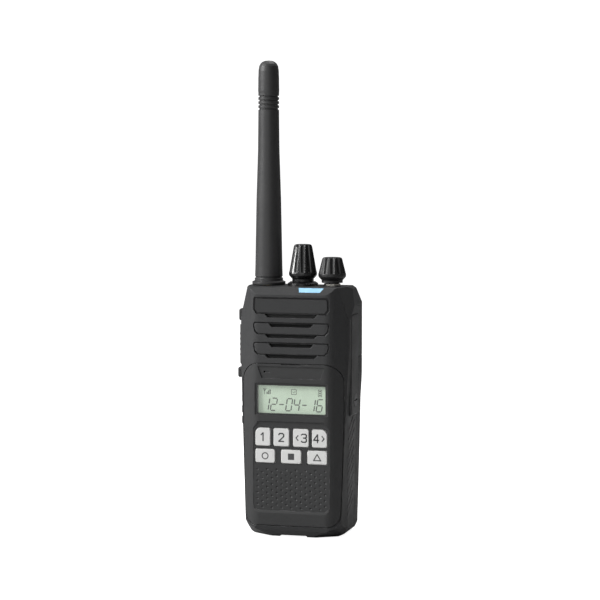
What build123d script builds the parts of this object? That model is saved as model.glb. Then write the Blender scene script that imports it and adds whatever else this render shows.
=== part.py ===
from build123d import *
import math
import os

# Hand-held two way radio standing on its battery base.
# Frame: +Z up, +X to the right seen from the front, the front faces -Y.
# Origin: centre of the flat base. All sizes in millimetres.

# ---- driving dimensions -------------------------------------------------
body_w = 55.4            # greatest width over the case
body_h = 123.0           # case height without knobs and antenna
front_y = -16.9          # flat front face
back_y = 16.9            # back of the battery pack
seam_y = 8.5             # joint between case and battery pack
half_foot = 25.3         # half width at the base
half_grip = 26.8         # half width beside the display
half_top = 26.3          # half width at the top edge
flat_half = 19.0         # half width of the flat front
facet_y = -10.2          # where the front facets reach the sides
wall = 2.3               # case wall
pack_top = 87.6          # top of the battery pack
pack_gap = 0.2           # gap above the removable pack

panel_skin = 1.2         # thickness of the lower front panel
panel_half = 25.3        # half width of the lower front panel
panel_low = 6.2
panel_high = 85.6

glass_half = 17.2        # display opening
glass_low = 61.3
glass_high = 75.0
field_half = 19.2        # recessed key field
field_low = 13.4
field_high = 57.4
field_deep = 0.7

key_gap = 0.3            # air round each key
key_proud = 0.45         # keys stand out of the field by this
key_rows = [             # left, right, bottom, top of every key
    (-18.1, -10.5, 45.2, 54.0),
    (-8.9, -1.0, 45.2, 54.0),
    (1.0, 8.9, 45.2, 54.0),
    (10.5, 18.1, 45.2, 54.0),
    (-18.1, -8.2, 36.9, 43.6),
    (-5.1, 5.1, 36.9, 43.6),
    (8.2, 18.1, 36.9, 43.6),
]

antenna_x = -15.8
antenna_len = 110.0      # sleeve above the deck
selector_x = 1.6
volume_x = 16.4
deck_z = body_h          # top deck

board_y = -7.2           # front face of the main board
board_t = 1.2
chassis_front = 3.2      # front face of the chassis floor
chassis_t = 2.4
inner_x = body_w / 2 - wall
board_posts = [(-20.4, 30.0), (20.4, 30.0), (-20.4, 70.0), (20.4, 70.0)]
case_screws = [(-18.0, 9.0), (18.0, 9.0), (-18.0, 64.0), (18.0, 64.0)]
side_switch_z = (108.4, 94.0, 79.9)

ptt_low, ptt_high = 83.5, 104.4
side_y = -2.6            # middle of the side keys
side_half = 4.4
upper_low, upper_high = 105.2, 111.6
lower_low, lower_high = 77.0, 82.7
upper_proud, talk_proud, lower_proud = 1.6, 1.1, 2.2

cover_low, cover_high = 59.7, 109.2
cover_front, cover_back = -6.6, 7.2
screw_y, screw_z = 1.6, 67.0
jack_big_z, jack_small_z = 93.0, 81.0
jack_y = 0.6

speaker_z = 98.3
speaker_r = 16.5

clip_y, clip_z = 22.5, 70.0      # pin of the belt clip
clip_screw_x = (-7.0, 7.0)
clip_screw_z = 60.5


# ---- helpers -------------------------------------------------------------
def box(x0, x1, y0, y1, z0, z1):
    middle = Pos((x0 + x1) / 2, (y0 + y1) / 2, (z0 + z1) / 2)
    return middle * Box(x1 - x0, y1 - y0, z1 - z0)


def upright(x, y, z0, z1, r0, r1=None):
    """Round solid standing along Z, tapered when a second radius is given."""
    height = z1 - z0
    place = Pos(x, y, (z0 + z1) / 2)
    if r1 is None or abs(r1 - r0) < 1e-6:
        return place * Cylinder(r0, height)
    return place * Cone(r0, r1, height)


def along_y(x, z, y0, y1, r0, r1=None):
    """Round solid lying along Y."""
    length = y1 - y0
    place = Pos(x, (y0 + y1) / 2, z) * Rot(-90, 0, 0)
    if r1 is None:
        return place * Cylinder(r0, length)
    return place * Cone(r0, r1, length)


def along_x(y, z, x0, x1, r0, r1=None):
    """Round solid lying along X."""
    length = x1 - x0
    place = Pos((x0 + x1) / 2, y, z) * Rot(0, 90, 0)
    if r1 is None:
        return place * Cylinder(r0, length)
    return place * Cone(r0, r1, length)


def rounded(points, radius):
    """Closed polygon with every corner rounded."""
    outline = Polygon(*points, align=None)
    return fillet(outline.vertices(), radius) if radius > 0 else outline


def face(points, radius, y0, y1):
    """Front outline (x, z) run from y0 back to y1."""
    drawing = Plane(origin=(0, y0, 0), x_dir=(1, 0, 0), z_dir=(0, -1, 0))
    return extrude(drawing * rounded(points, radius), y1 - y0, dir=(0, 1, 0))


def side(points, radius, x0, x1):
    """Side outline (y, z) run from x0 to x1."""
    drawing = Plane(origin=(x0, 0, 0), x_dir=(0, 1, 0), z_dir=(1, 0, 0))
    return extrude(drawing * rounded(points, radius), x1 - x0, dir=(1, 0, 0))


def slab(x0, x1, z0, z1, y0, y1, radius):
    """Rounded rectangle on the front, from y0 back to y1."""
    return face([(x0, z0), (x1, z0), (x1, z1), (x0, z1)], radius, y0, y1)


def group(parts):
    return Compound(children=list(parts))


def save(name, part):
    part.label = name
    export_step(part, f"parts/{name}.step")


# ---- outside envelope ----------------------------------------------------
def envelope(inset, y_back):
    """Outer body pulled in by inset, cut off at y_back."""
    w = body_w / 2 - inset
    plan_points = [
        (-flat_half + inset * 0.4, front_y + inset),
        (flat_half - inset * 0.4, front_y + inset),
        (w, facet_y + inset * 0.4),
        (w, back_y - inset),
        (-w, back_y - inset),
        (-w, facet_y + inset * 0.4),
    ]
    drawn = Polygon(*plan_points, align=None)
    drawn = fillet(drawn.vertices().sort_by(Axis.Y)[-2:], max(1.2 - inset * 0.3, 0.5))
    drawn = fillet(nearest(drawn, [(w, facet_y + inset * 0.4), (-w, facet_y + inset * 0.4)]), 5.0 - inset)
    front = flat_half - inset * 0.4
    drawn = fillet(nearest(drawn, [(front, front_y + inset), (-front, front_y + inset)]), 8.0 - inset)
    prism = extrude(drawn, body_h, dir=(0, 0, 1))
    f = half_foot - inset
    t = half_top - inset
    front_points = [
        (-f + 4.2, inset), (f - 4.2, inset), (f - 1.4, 1.2 + inset), (f, 4.2 + inset),
        (half_grip - 0.5 - inset, 43), (half_grip - inset, 67), (w, 80), (w, 113.5),
        (t, body_h - 1.4 - inset),
        (t - 1.6, body_h - inset), (-t + 1.6, body_h - inset), (-t, body_h - 1.4 - inset),
        (-w, 113.5), (-w, 80), (-half_grip + inset, 67), (-half_grip + 0.5 + inset, 43),
        (-f, 4.2 + inset), (-f + 1.4, 1.2 + inset),
    ]
    front_prism = face(front_points, 0.8, front_y - 5, back_y + 5)
    side_points = [
        (front_y + 5.0 + inset * 0.4, inset), (back_y - 1.5 - inset, inset),
        (back_y - inset, 1.5 + inset), (back_y - inset, body_h - 9.5 - inset * 0.5),
        (back_y - 8.6 - inset * 0.3, body_h - inset), (front_y + 2.2 + inset * 0.8, body_h - inset),
        (front_y + inset, body_h - 3.4 - inset * 0.3), (front_y + inset, 6.4 + inset * 0.3),
        (front_y + 0.7 + inset, 3.6 + inset * 0.5), (front_y + 2.2 + inset * 0.8, 1.3 + inset * 0.8),
    ]
    side_prism = side(side_points, 0.9, -40, 40)
    shape = prism & front_prism & side_prism
    for sign in (-1, 1):
        for slope, corner in corner_slopes(w + inset, sign):
            shape = trim(shape, slope, corner, inset)
    return shape & box(-60, 60, -60, y_back, -5, body_h + 5)


def corner_slopes(half, sign):
    """Outward direction and one point of every plane that softens a front corner."""
    return [
        (Vector(sign, -0.2, 0.24), Vector(half * sign, facet_y, 105.5)),
        (Vector(sign, -0.13, -0.033), Vector(24.3 * sign, facet_y, 0)),
        (Vector(sign, -0.5, -0.71), Vector(24.3 * sign, facet_y, 6.0)),
        (Vector(sign, -0.9, -1.53), Vector(22.3 * sign, facet_y, 3.2)),
        (Vector(sign, -1.6, -3.7), Vector(20.0 * sign, facet_y, 1.7)),
    ]


def nearest(drawing, places):
    """Corners of a flat drawing that lie closest to the given places."""
    corners = drawing.vertices()
    return [min(corners, key=lambda c: math.hypot(c.X - x, c.Y - y)) for x, y in places]


def trim(shape, outward, corner, inset):
    """Cuts off all that lies beyond a plane facing outward."""
    outward = outward.normalized()
    block = Box(200, 200, 40, align=(Align.CENTER, Align.CENTER, Align.MIN))
    return shape - Plane(origin=corner - outward * inset, z_dir=outward) * block


def panel_outline(grow):
    """Outline of the lower front panel, seen from the front."""
    a = panel_half + grow
    low = panel_low - grow
    high = panel_high + grow
    points = [
        (-a + 1.5, low), (a - 1.5, low), (a - 0.7, 30.0), (a, 56.0),
        (a, high), (-a, high), (-a, 56.0), (-a + 0.7, 30.0),
    ]
    drawing = Polygon(*points, align=None)
    drawing = fillet(nearest(drawing, [(-a, high), (a, high)]), 9.0 + grow)
    drawing = fillet(nearest(drawing, [(-a + 1.5, low), (a - 1.5, low)]), 6.0 + grow)
    plane = Plane(origin=(0, front_y - 3, 0), x_dir=(1, 0, 0), z_dir=(0, -1, 0))
    return extrude(plane * drawing, facet_y + 4.4 - front_y, dir=(0, 1, 0))


# ---- front case ----------------------------------------------------------
def louvre_cuts():
    """Five tapered sound slots, two of them notched into raised bars."""
    cuts = []
    for z_wide, z_narrow in [(109.8, 108.2), (99.9, 98.3), (90.0, 88.4)]:
        cuts.append(slot_below(z_wide, z_narrow))
    for z_wide, z_narrow in [(105.3, 103.6), (95.5, 93.8)]:
        cuts.append(slot_above(z_wide, z_narrow))
    return cuts


def slot_below(z_wide, z_narrow):
    points = [(-13.2, z_wide), (13.2, z_wide), (11.6, z_narrow), (-11.6, z_narrow)]
    return face(points, 0, front_y - 1, front_y + 4)


def slot_above(z_wide, z_narrow):
    points = [(-11.3, z_wide), (11.3, z_wide), (9.8, z_narrow), (-9.8, z_narrow)]
    return face(points, 0, front_y - 1, front_y + 4)


def bar_groove(z_top, z_bottom):
    """Groove round one raised speaker bar."""
    def outline(grow):
        a = 19.0 + grow
        return [(-a + 0.5, z_top + grow), (a - 0.5, z_top + grow), (a, z_top - 1.4),
                (a - 0.6, z_bottom + 1.5 - grow), (a - 2.2, z_bottom - grow), (-a + 2.2, z_bottom - grow),
                (-a + 0.6, z_bottom + 1.5 - grow), (-a, z_top - 1.4)]
    ring = face(outline(0.25), 0.6, front_y - 1, front_y + 1.2)
    return ring - face(outline(-0.3), 0.5, front_y - 2, front_y + 1)


def make_front_case():
    case = envelope(0, seam_y)
    # rear upper block of the body belongs to the case above the battery pack
    hump = envelope(0, back_y + 1) & box(-40, 40, seam_y - 0.01, 30, pack_top + pack_gap, body_h)
    case = case + hump
    hollow = envelope(wall, seam_y + 0.01) & box(-40, 40, front_y + wall, 40, wall + 0.6, 120.4)
    case = case - hollow
    case = case - (envelope(wall, 30) & box(-22, 22, seam_y - 1, 14.4, pack_top + 3.0, 116.0))
    # seat of the lower panel and the window through it
    seat = panel_outline(0.3) - envelope(panel_skin + 0.05, seam_y)
    case = case - seat
    case = case - slab(-20.2, 20.2, 34.4, 77.2, front_y - 1, front_y + 4, 1.5)
    # louvres and name recess
    for cut in louvre_cuts():
        case = case - cut
    case = case - bar_groove(105.7, 100.1) - bar_groove(95.9, 90.2)
    name_points = [(-18.9, 118.2), (18.9, 118.2), (19.2, 112.1),
                   (17.7, 109.8), (-17.7, 109.8), (-19.2, 112.1)]
    case = case - face(name_points, 1.0, front_y - 1, front_y + 1.2)
    # speaker pocket behind the grille
    case = case - along_y(0, speaker_z, front_y + 1.5, front_y + 3, speaker_r + 0.4)
    # light bar window in the front bevel
    case = case - light_bar(0.1)
    # top openings
    case = case - upright(antenna_x, 0, 118, 125, 4.85)
    case = case - upright(selector_x, 0, 118, 125, 3.75)
    case = case - upright(volume_x, 0, 118, 125, 3.75)
    case = case - upright(selector_x, 0, deck_z - 0.9, 125, 7.7)
    # side key windows on the left
    for low, high in [(upper_low, upper_high), (ptt_low, ptt_high), (lower_low, lower_high)]:
        case = case - side_window(low, high)
    # jack cover seat, jack windows and screw hole on the right
    case = case - cover_block(0.2, body_w / 2 - 1.3, 30)
    case = case - along_x(jack_y, jack_big_z, 20, 30, 3.4)
    case = case - along_x(jack_y, jack_small_z, 20, 30, 2.9)
    case = case - along_x(screw_y, screw_z, 20, 30, 1.75)
    case = case - box(24, 27, cover_front + 2.2, cover_back - 2.2, 105.2, 109.0)
    # microphone bore, base notch and latch pocket
    case = case - along_y(-13.5, 81.6, front_y - 1, front_y + 6, 0.6)
    case = case - box(-7, 7, front_y - 1, -5.5, -1, 1.0)
    case = case - latch_pocket()
    for x in (-12.0, 12.0):
        case = case - box(x - 2.6, x + 2.6, 10.4, 14.6, pack_top - 1, pack_top + 2.6)
    for i in range(4):
        case = case + grip_bar(72.6 - 5.3 * i)
    case = case - rib_cuts()
    return case


def light_bar(grow):
    """Slanted bar that follows the front bevel."""
    drawing = Plane(origin=(0, front_y - 2, 0), x_dir=(1, 0, 0), z_dir=(0, -1, 0))
    z0, z1 = 120.7 - grow, 122.75 + grow
    points = [(3.4 - grow, z1), (15.9 + grow, z1), (14.2 + grow, z0), (3.9 - grow, z0)]
    prism = extrude(drawing * Polygon(*points, align=None), 6.2 + grow, dir=(0, 1, 0))
    return prism & box(-10, 30, front_y - 1, front_y + 4 + grow, 118, 124)


def side_window(low, high):
    span = [(side_y - side_half, low), (side_y + side_half, low),
            (side_y + side_half, high), (side_y - side_half, high)]
    return side(span, 1.2, -29, -24.0)


def grip_bar(z):
    """Low finger bar on the left side under the side keys."""
    x = -half_grip - 0.55
    bar = Pos(x + 1.2, side_y - 1.0, z) * Box(2.4, 10.5, 3.9)
    return chamfer(bar.edges().group_by(Axis.X)[0], 0.5)


def rib_cuts():
    """Fine slanted grip ribs on both sides of the lower case."""
    cutter = []
    for sign in (-1, 1):
        for i in range(11):
            z = 13.0 + 4.4 * i
            bar = Box(1.2, 15.0, 0.7)
            x = sign * (half_foot + 0.25 + (half_grip - half_foot) * z / 67)
            cutter.append(Pos(x, -1.2, z) * Rot(35, 0, 0) * bar)
    return cutter


def cover_block(grow, x0, x1):
    points = [(cover_front - grow, cover_low - grow), (cover_back + grow, cover_low - grow),
              (cover_back + grow, cover_high + grow), (cover_front - grow, cover_high + grow)]
    return side(points, 1.8, x0, x1)


def latch_pocket():
    pocket = box(-7.3, 7.3, 0.6, seam_y + 1, -1, 2.0)
    return pocket + box(-8.7, 8.7, 0.9, seam_y + 1, 0.6, 1.8)


# ---- pieces on the front -------------------------------------------------
def make_name_plate():
    points = [(-17.9, 117.3), (17.9, 117.3), (18.1, 112.4), (16.8, 110.6), (-16.8, 110.6), (-18.1, 112.4)]
    return face(points, 0.8, front_y + 0.3, front_y + 1.2)


def make_front_panel():
    panel = panel_outline(0) & envelope(0, seam_y)
    panel = panel - envelope(panel_skin, seam_y)
    # display recess and opening
    panel = panel - slab(-18.3, 18.3, 60.4, 76.2, front_y - 1, front_y + 0.6, 0.5)
    panel = panel - slab(-glass_half, glass_half, glass_low, glass_high,
                         front_y - 1, front_y + 3, 0.5)
    # trapezoid recess with the microphone slot
    points = [(-16.9, 84.3), (16.9, 84.3), (14.8, 78.5), (-14.8, 78.5)]
    panel = panel - face(points, 0.3, front_y - 1, front_y + 0.5)
    panel = panel - along_y(-13.5, 81.6, front_y - 1, front_y + 3, 0.45)
    panel = panel - slab(-13.5, -10.8, 81.3, 81.9, front_y - 1, front_y + 0.7, 0.2)
    # thin dark gap in the middle of the upper edge
    panel = panel - slab(-5.0, 5.0, 85.1, 86.4, front_y - 1, front_y + 0.9, 0.1)
    # key field
    points = [(-field_half, field_low + 2), (-field_half + 2, field_low), (field_half - 2, field_low),
              (field_half, field_low + 2), (field_half, field_high - 3.6),
              (field_half - 2.6, field_high), (-field_half + 2.6, field_high),
              (-field_half, field_high - 3.6)]
    panel = panel - face(points, 0.5, front_y - 1, front_y + field_deep)
    floor_y = front_y + field_deep
    slope = [(front_y - 1, field_low - 3.2), (front_y, field_low - 1.2), (floor_y, field_low + 1.2),
             (floor_y, field_low + 4), (front_y - 1, field_low + 4)]
    panel = panel - side(slope, 0, -field_half + 0.4, field_half - 0.4)
    for number, sizes in enumerate(key_rows):
        panel = panel - key_slab(number, sizes, key_gap, front_y - 1, front_y + 3)
    # staggered dimples
    dimples = []
    for column in range(15):
        x = -17.1 + 2.44 * column
        for row in range(7):
            z = 33.6 - 2.88 * row - (1.44 if column % 2 else 0.0)
            dimples.append(Pos(x, front_y + field_deep - 0.42, z) * Sphere(0.72))
    return panel - dimples


def key_slab(number, sizes, grow, y0, y1):
    """One key outline; the outer keys of the upper row have a large corner."""
    left, right, low, high = sizes
    left, right, low, high = left - grow, right + grow, low - grow, high + grow
    shape = slab(left, right, low, high, y0, y1, 1.0)
    if number == 0:
        shape = shape & slab(left, right + 9, low - 9, high, y0, y1, 2.9)
    if number == 3:
        shape = shape & slab(left - 9, right, low - 9, high, y0, y1, 2.9)
    return shape


def make_key(number):
    sizes = key_rows[number]
    cap = key_slab(number, sizes, 0, front_y + field_deep - key_proud, front_y + 2.0)
    left, right, low, high = sizes
    flange = slab(left - 0.6, right + 0.6, low - 0.5, high + 0.5,
                  front_y + 1.65, front_y + 2.2, 0.8)
    cap = cap + (flange & box(-18.4, 18.4, front_y, front_y + 3, 0, 60))
    top = cap.faces().sort_by(Axis.Y)[0]
    cap = chamfer(top.edges(), 0.25)
    x, z = (left + right) / 2, (low + high) / 2
    stem = along_y(x, z, front_y + 1.9, front_y + 4.3, 1.1)
    return cap + stem


def make_key_mat():
    """Silicone mat behind the keys with a thin dome at every key."""
    mat = slab(-19.6, 19.6, 35.0, 55.6, front_y + 5.4, front_y + 6.2, 1.5)
    for left, right, low, high in key_rows:
        x, z = (left + right) / 2, (low + high) / 2
        mat = mat + along_y(x, z, front_y + 4.95, front_y + 5.5, 1.6)
    return mat


def make_dome_switches():
    """Dome switches: one on the main board per key, three on the side board."""
    domes = []
    for left, right, low, high in key_rows:
        x, z = (left + right) / 2, (low + high) / 2
        base = along_y(x, z, board_y - 0.5, board_y, 2.4)
        domes.append(base + along_y(x, z, board_y - 0.95, board_y - 0.5, 1.5, 2.0))
    for z in side_switch_z:
        domes.append(along_x(side_y, z, -21.2, -20.2, 1.6))
    return group(domes)


def make_display_window():
    lens = slab(-glass_half + 0.1, glass_half - 0.1, glass_low + 0.1, glass_high - 0.1,
                front_y + 0.7, front_y + 1.55, 0.4)
    rim = slab(-17.8, 17.8, 60.2, 76.2, front_y + 1.5, front_y + 2.1, 0.6)
    return lens + rim


def make_lcd():
    glass = box(-16.9, 16.9, front_y + 2.3, front_y + 3.9, 59.6, 77.0)
    return glass


def make_lcd_holder():
    """Light guide and clip frame between the display and the board."""
    block = box(-18.2, 18.2, front_y + 3.9, board_y, 58.4, 78.4)
    block = block - box(-15.2, 15.2, front_y + 6.0, board_y + 1, 61.0, 75.4)
    lips = box(-18.2, -17.1, front_y + 2.3, front_y + 3.9, 60.0, 76.8)
    lips = lips + box(17.1, 18.2, front_y + 2.3, front_y + 3.9, 60.0, 76.8)
    return block + lips


# ---- speaker and microphone ----------------------------------------------
def make_speaker_mesh():
    return along_y(0, speaker_z, front_y + 1.55, front_y + 1.8, speaker_r)


def make_speaker_basket():
    y0 = front_y + 1.9
    basket = along_y(0, speaker_z, y0, y0 + 3.2, speaker_r)
    basket = basket - along_y(0, speaker_z, y0 - 1, y0 + 2.6, speaker_r - 1.0)
    return basket - along_y(0, speaker_z, y0, y0 + 5, 6.0)


def make_speaker_cone():
    y0 = front_y + 2.1
    cone = along_y(0, speaker_z, y0 + 0.2, y0 + 2.0, speaker_r - 1.3, 5.0)
    cone = cone - along_y(0, speaker_z, y0 - 0.2, y0 + 1.6, speaker_r - 1.3, 5.0)
    return cone + along_y(0, speaker_z, y0 + 1.2, y0 + 1.7, 5.6)


def make_speaker_magnet():
    y0 = front_y + 4.6
    return along_y(0, speaker_z, y0, y0 + 3.4, 5.9)


def make_microphone():
    return along_y(-13.5, 81.6, front_y + 4.6, front_y + 6.8, 2.0)


def make_microphone_boot():
    boot = along_y(-13.5, 81.6, front_y + 2.35, front_y + 7.2, 2.9)
    boot = boot - along_y(-13.5, 81.6, front_y + 4.6, front_y + 8, 2.0)
    return boot - along_y(-13.5, 81.6, front_y + 1, front_y + 5, 0.6)


# ---- electronics and chassis ---------------------------------------------
def make_main_board():
    board = slab(-22.0, 22.0, 7.0, 118.0, board_y, board_y + board_t, 1.0)
    board = board - box(-24, -19.0, board_y - 1, board_y + 2, 75.0, 114.0)
    for x, z in board_posts:
        board = board - along_y(x, z, board_y - 1, board_y + 2, 1.3)
    return board


def make_shield_can(x0, x1, z0, z1):
    y0 = board_y + board_t
    can = box(x0, x1, y0, y0 + 3.0, z0, z1)
    can = chamfer(can.faces().sort_by(Axis.Y)[-1].edges(), 0.4)
    return can - box(x0 + 0.3, x1 - 0.3, y0 - 1, y0 + 2.7, z0 + 0.3, z1 - 0.3)


def make_shields():
    return group([
        make_shield_can(-18.5, -1.0, 17, 50),
        make_shield_can(1.0, 18.5, 17, 44),
        make_shield_can(-18.5, 8.0, 54, 78),
    ])


def make_chassis():
    """Die-cast floor closing the back of the case, ribbed towards the board."""
    floor = slab(-22.4, 22.4, 4.2, 86.4, chassis_front, chassis_front + chassis_t, 1.2)
    upper = slab(-21.6, 21.6, 86.4, 104.0, chassis_front + 0.6, chassis_front + chassis_t, 1.0)
    chassis = floor + upper
    for x, z in board_posts:
        chassis = chassis + along_y(x, z, board_y + board_t, chassis_front + 0.1, 1.7)
    for z, right in ((51.9, 17.0), (80.4, 9.0)):
        chassis = chassis + box(-17.0, right, board_y + board_t + 0.4, chassis_front + 0.1, z - 0.6, z + 0.6)
    chassis = chassis + box(-0.45, 0.45, board_y + board_t + 0.4, chassis_front + 0.1, 17, 44)
    for x, z in case_screws:
        chassis = chassis - along_y(x, z, chassis_front - 1, chassis_front + 4, 1.3)
    chassis = chassis & envelope(wall + 0.3, seam_y)
    # window for the spring terminals
    chassis = chassis - box(-9.4, 9.4, chassis_front - 1, chassis_front + 4, 70.0, 78.0)
    return chassis


def make_case_screws():
    screws = []
    for x, z in case_screws:
        head_y = chassis_front + chassis_t
        screw = along_y(x, z, chassis_front - 4.6, head_y, 1.0)
        screw = screw + along_y(x, z, head_y, head_y + 1.3, 2.0)
        cross = box(x - 1.1, x + 1.1, head_y + 0.6, head_y + 2, z - 0.2, z + 0.2)
        cross = cross + box(x - 0.2, x + 0.2, head_y + 0.6, head_y + 2, z - 1.1, z + 1.1)
        screws.append(screw - cross)
    return group(screws)


def make_gasket():
    """Soft ring between chassis floor and case walls."""
    y0 = chassis_front + 0.5
    ring = slab(-23.6, 23.6, 3.2, 87.0, y0, y0 + 1.2, 1.6) & envelope(wall + 0.05, seam_y)
    ring = ring - slab(-22.45, 22.45, 4.1, 86.5, y0 - 1, y0 + 3, 1.2)
    return ring - box(-21.7, 21.7, y0 - 1, y0 + 3, 80, 90)


def make_terminal_block():
    y1 = chassis_front + chassis_t + 0.9
    return box(-9.2, 9.2, chassis_front - 2.0, y1, 70.2, 77.8)


def make_terminal_springs():
    y1 = chassis_front + chassis_t + 0.9
    return group([box(x - 0.8, x + 0.8, y1, y1 + 3.1, 72.0, 76.0) for x in (-6.6, -2.2, 2.2, 6.6)])


# ---- top: antenna, knobs, light bar --------------------------------------
def make_antenna_connector():
    """Threaded coaxial socket standing in the top deck."""
    body = upright(antenna_x, 0, 114.0, 121.0, 4.6)
    body = body + upright(antenna_x, 0, 121.0, 129.6, 3.1)
    body = body + box(antenna_x - 5.5, antenna_x + 5.5, -5.5, 5.5, 112.4, 114.0)
    return body - upright(antenna_x, 0, 122.6, 131, 1.6)


def make_antenna_sleeve():
    """Tapered rubber sleeve: collar, four ring grooves, round cap."""
    base = deck_z + 0.4
    top = deck_z + antenna_len
    rings = top - 23.8
    profile = [
        (0, base), (8.2, base), (8.2, base + 1.2), (7.0, base + 1.7), (7.0, base + 2.9),
        (6.5, base + 3.1), (6.5, base + 3.6), (6.85, base + 3.9), (6.7, base + 8.0),
        (6.07, base + 41.9), (5.3, base + 66.0), (5.1, rings - 0.4),
    ]
    for ring in range(4):
        z = rings + 2.0 * ring
        profile += [(4.55, z), (4.55, z + 0.5), (5.1, z + 0.65), (5.1, z + 1.8)]
    profile += [(5.2, rings + 9.0), (5.12, top - 9.0), (5.0, top - 5.0), (4.63, top - 2.7),
                (4.0, top - 1.6), (3.15, top - 0.75), (1.9, top - 0.2), (0, top)]
    outline = Plane.XZ * make_face(Polyline(*[(x, z) for x, z in profile], close=True))
    sleeve = Pos(antenna_x, 0, 0) * revolve(outline, Axis.Z)
    sleeve = sleeve - upright(antenna_x, 0, base - 1, 130.4, 4.2)
    return sleeve - upright(antenna_x, 0, 129, top - 12.0, 3.0)


def make_antenna_nut():
    """Metal nut moulded into the sleeve, running on the socket."""
    nut = upright(antenna_x, 0, deck_z + 0.5, 130.4, 4.15)
    nut = nut - upright(antenna_x, 0, deck_z - 1, 129.9, 3.15)
    return nut + upright(antenna_x, 0, 130.3, 133.0, 1.9)


def make_antenna_pin():
    return upright(antenna_x, 0, 124.0, 129.85, 0.65)


def make_antenna_coil():
    """Wound radiator on its plastic former, drawn as closed turns."""
    top = deck_z + antenna_len - 13.0
    core = upright(antenna_x, 0, 133.0, top, 1.7)
    turns = []
    for i in range(18):
        z = 137.0 + 4.8 * i
        turns.append(Pos(antenna_x, 0, z) * Torus(2.1, 0.45))
    return core + turns


def make_knob(x, base, top, foot_r, top_r, count):
    """Fluted hollow knob: narrow neck, flared skirt, tapering grip, domed crown."""
    profile = [
        (0, base), (foot_r - 1.6, base), (foot_r - 1.6, base + 1.2), (foot_r - 0.3, base + 2.6),
        (foot_r, base + 3.2), (foot_r, base + 4.2), (foot_r - 0.25, base + 5.4),
        (top_r + 0.25, top - 2.2), (top_r, top - 0.9), (top_r - 0.5, top - 0.25),
        (top_r - 1.3, top), (0, top),
    ]
    outline = Plane.XZ * make_face(Polyline(*[(r, z) for r, z in profile], close=True))
    knob = Pos(x, 0, 0) * revolve(outline, Axis.Z)
    lean = math.degrees(math.atan((foot_r - top_r) / (top - base - 6)))
    for i in range(count):
        groove = upright(foot_r + 0.62, 0, base + 4.6, top + 4, 1.25)
        groove = Pos(foot_r, 0, base + 4.6) * Rot(0, -lean, 0) * Pos(-foot_r, 0, -base - 4.6) * groove
        knob = knob - Pos(x, 0, 0) * Rot(0, 0, 360 / count * (i + 0.5)) * groove
    knob = knob - upright(x, 0, base - 1, base + 2.6, 4.3)
    knob = knob - upright(x, 0, base, top - 2.4, 1.62)
    return knob


def make_selector_knob():
    return make_knob(selector_x, 125.0, 143.2, 6.9, 4.6, 12)


def make_selector_pointer():
    """White stripe let into the skirt and side of the taller knob."""
    stripe = box(-0.5, 0.5, -7.2, -4.2, 129.0, 142.0)
    turned = Rot(0, 0, -32) * stripe
    return Pos(selector_x, 0, 0) * turned


def make_volume_knob():
    return make_knob(volume_x, 124.6, 137.0, 6.8, 5.1, 12)


def make_escutcheon():
    """Glossy dished ring round the selector shaft."""
    z0 = deck_z - 0.85
    ring = upright(selector_x, 0, z0, z0 + 1.9, 7.5)
    ring = ring + upright(selector_x, 0, z0 + 1.9, z0 + 2.7, 7.5, 6.3)
    return ring - upright(selector_x, 0, z0 - 1, z0 + 4, 4.7)


def make_rotary(x, depth):
    """Switch body and threaded bushing under the deck."""
    body = box(x - 5.6, x + 5.6, -5.6, 5.6, 120.3 - depth, 119.6)
    body = body + upright(x, 0, 119.5, 124.2, 3.5)
    return body - upright(x, 0, 121.4 - depth, 130, 1.65)


def make_shaft(x, depth, top):
    return upright(x, 0, 121.6 - depth, top, 1.6)


def make_ring_nut(x, z0):
    nut = extrude(Plane.XY.offset(z0) * RegularPolygon(4.2, 6), 1.1)
    return Pos(x, 0, 0) * nut - upright(x, 0, z0 - 1, z0 + 3, 3.5)


def make_ring_nuts():
    return group([make_ring_nut(selector_x, deck_z + 0.02), make_ring_nut(volume_x, deck_z + 0.02)])


def make_light_bar():
    """Clear blue bar that carries the status light to the bevel."""
    shell = light_bar(0) & envelope(0.0, seam_y)
    return shell


# ---- side pieces ---------------------------------------------------------
def make_side_key(low, high, proud, gap):
    """Button with a flange behind the window wall."""
    x0 = -body_w / 2 - proud
    back = -inner_x + 1.6
    span = [(side_y - side_half + gap, low + gap), (side_y + side_half - gap, low + gap),
            (side_y + side_half - gap, high - gap), (side_y - side_half + gap, high - gap)]
    cap = side(span, 1.0, x0, back)
    cap = chamfer(cap.faces().sort_by(Axis.X)[0].edges(), 0.5)
    wide = [(y + (0.9 if y > side_y else -0.5), z) for y, z in span]
    flange = side(wide, 0.6, -inner_x + 1.0, back)
    nub = along_x(side_y, (low + high) / 2, back - 0.1, back + 0.4, 1.5)
    return cap + flange + nub


def make_ptt_ribs():
    """Raised grip bars on the push-to-talk key."""
    bars = []
    x = -body_w / 2 - talk_proud
    for i in range(5):
        z = 88.5 + 2.6 * i
        bars.append(box(x - 0.45, x + 0.3, side_y - 2.6, side_y + 2.6, z - 0.45, z + 0.45))
    return group(bars)


def make_side_membrane():
    """Rubber skin behind the side keys that keeps water out."""
    skin = side([(-8.2, 75.8), (3.0, 75.8), (3.0, 112.8), (-8.2, 112.8)], 1.2, -21.9, -21.3)
    for z in side_switch_z:
        skin = skin + along_x(side_y, z, -22.1, -21.2, 1.7)
    return skin


def make_side_board():
    board = box(-20.2, -19.4, -5.9, 2.6, 76.4, 112.4)
    return board


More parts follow.
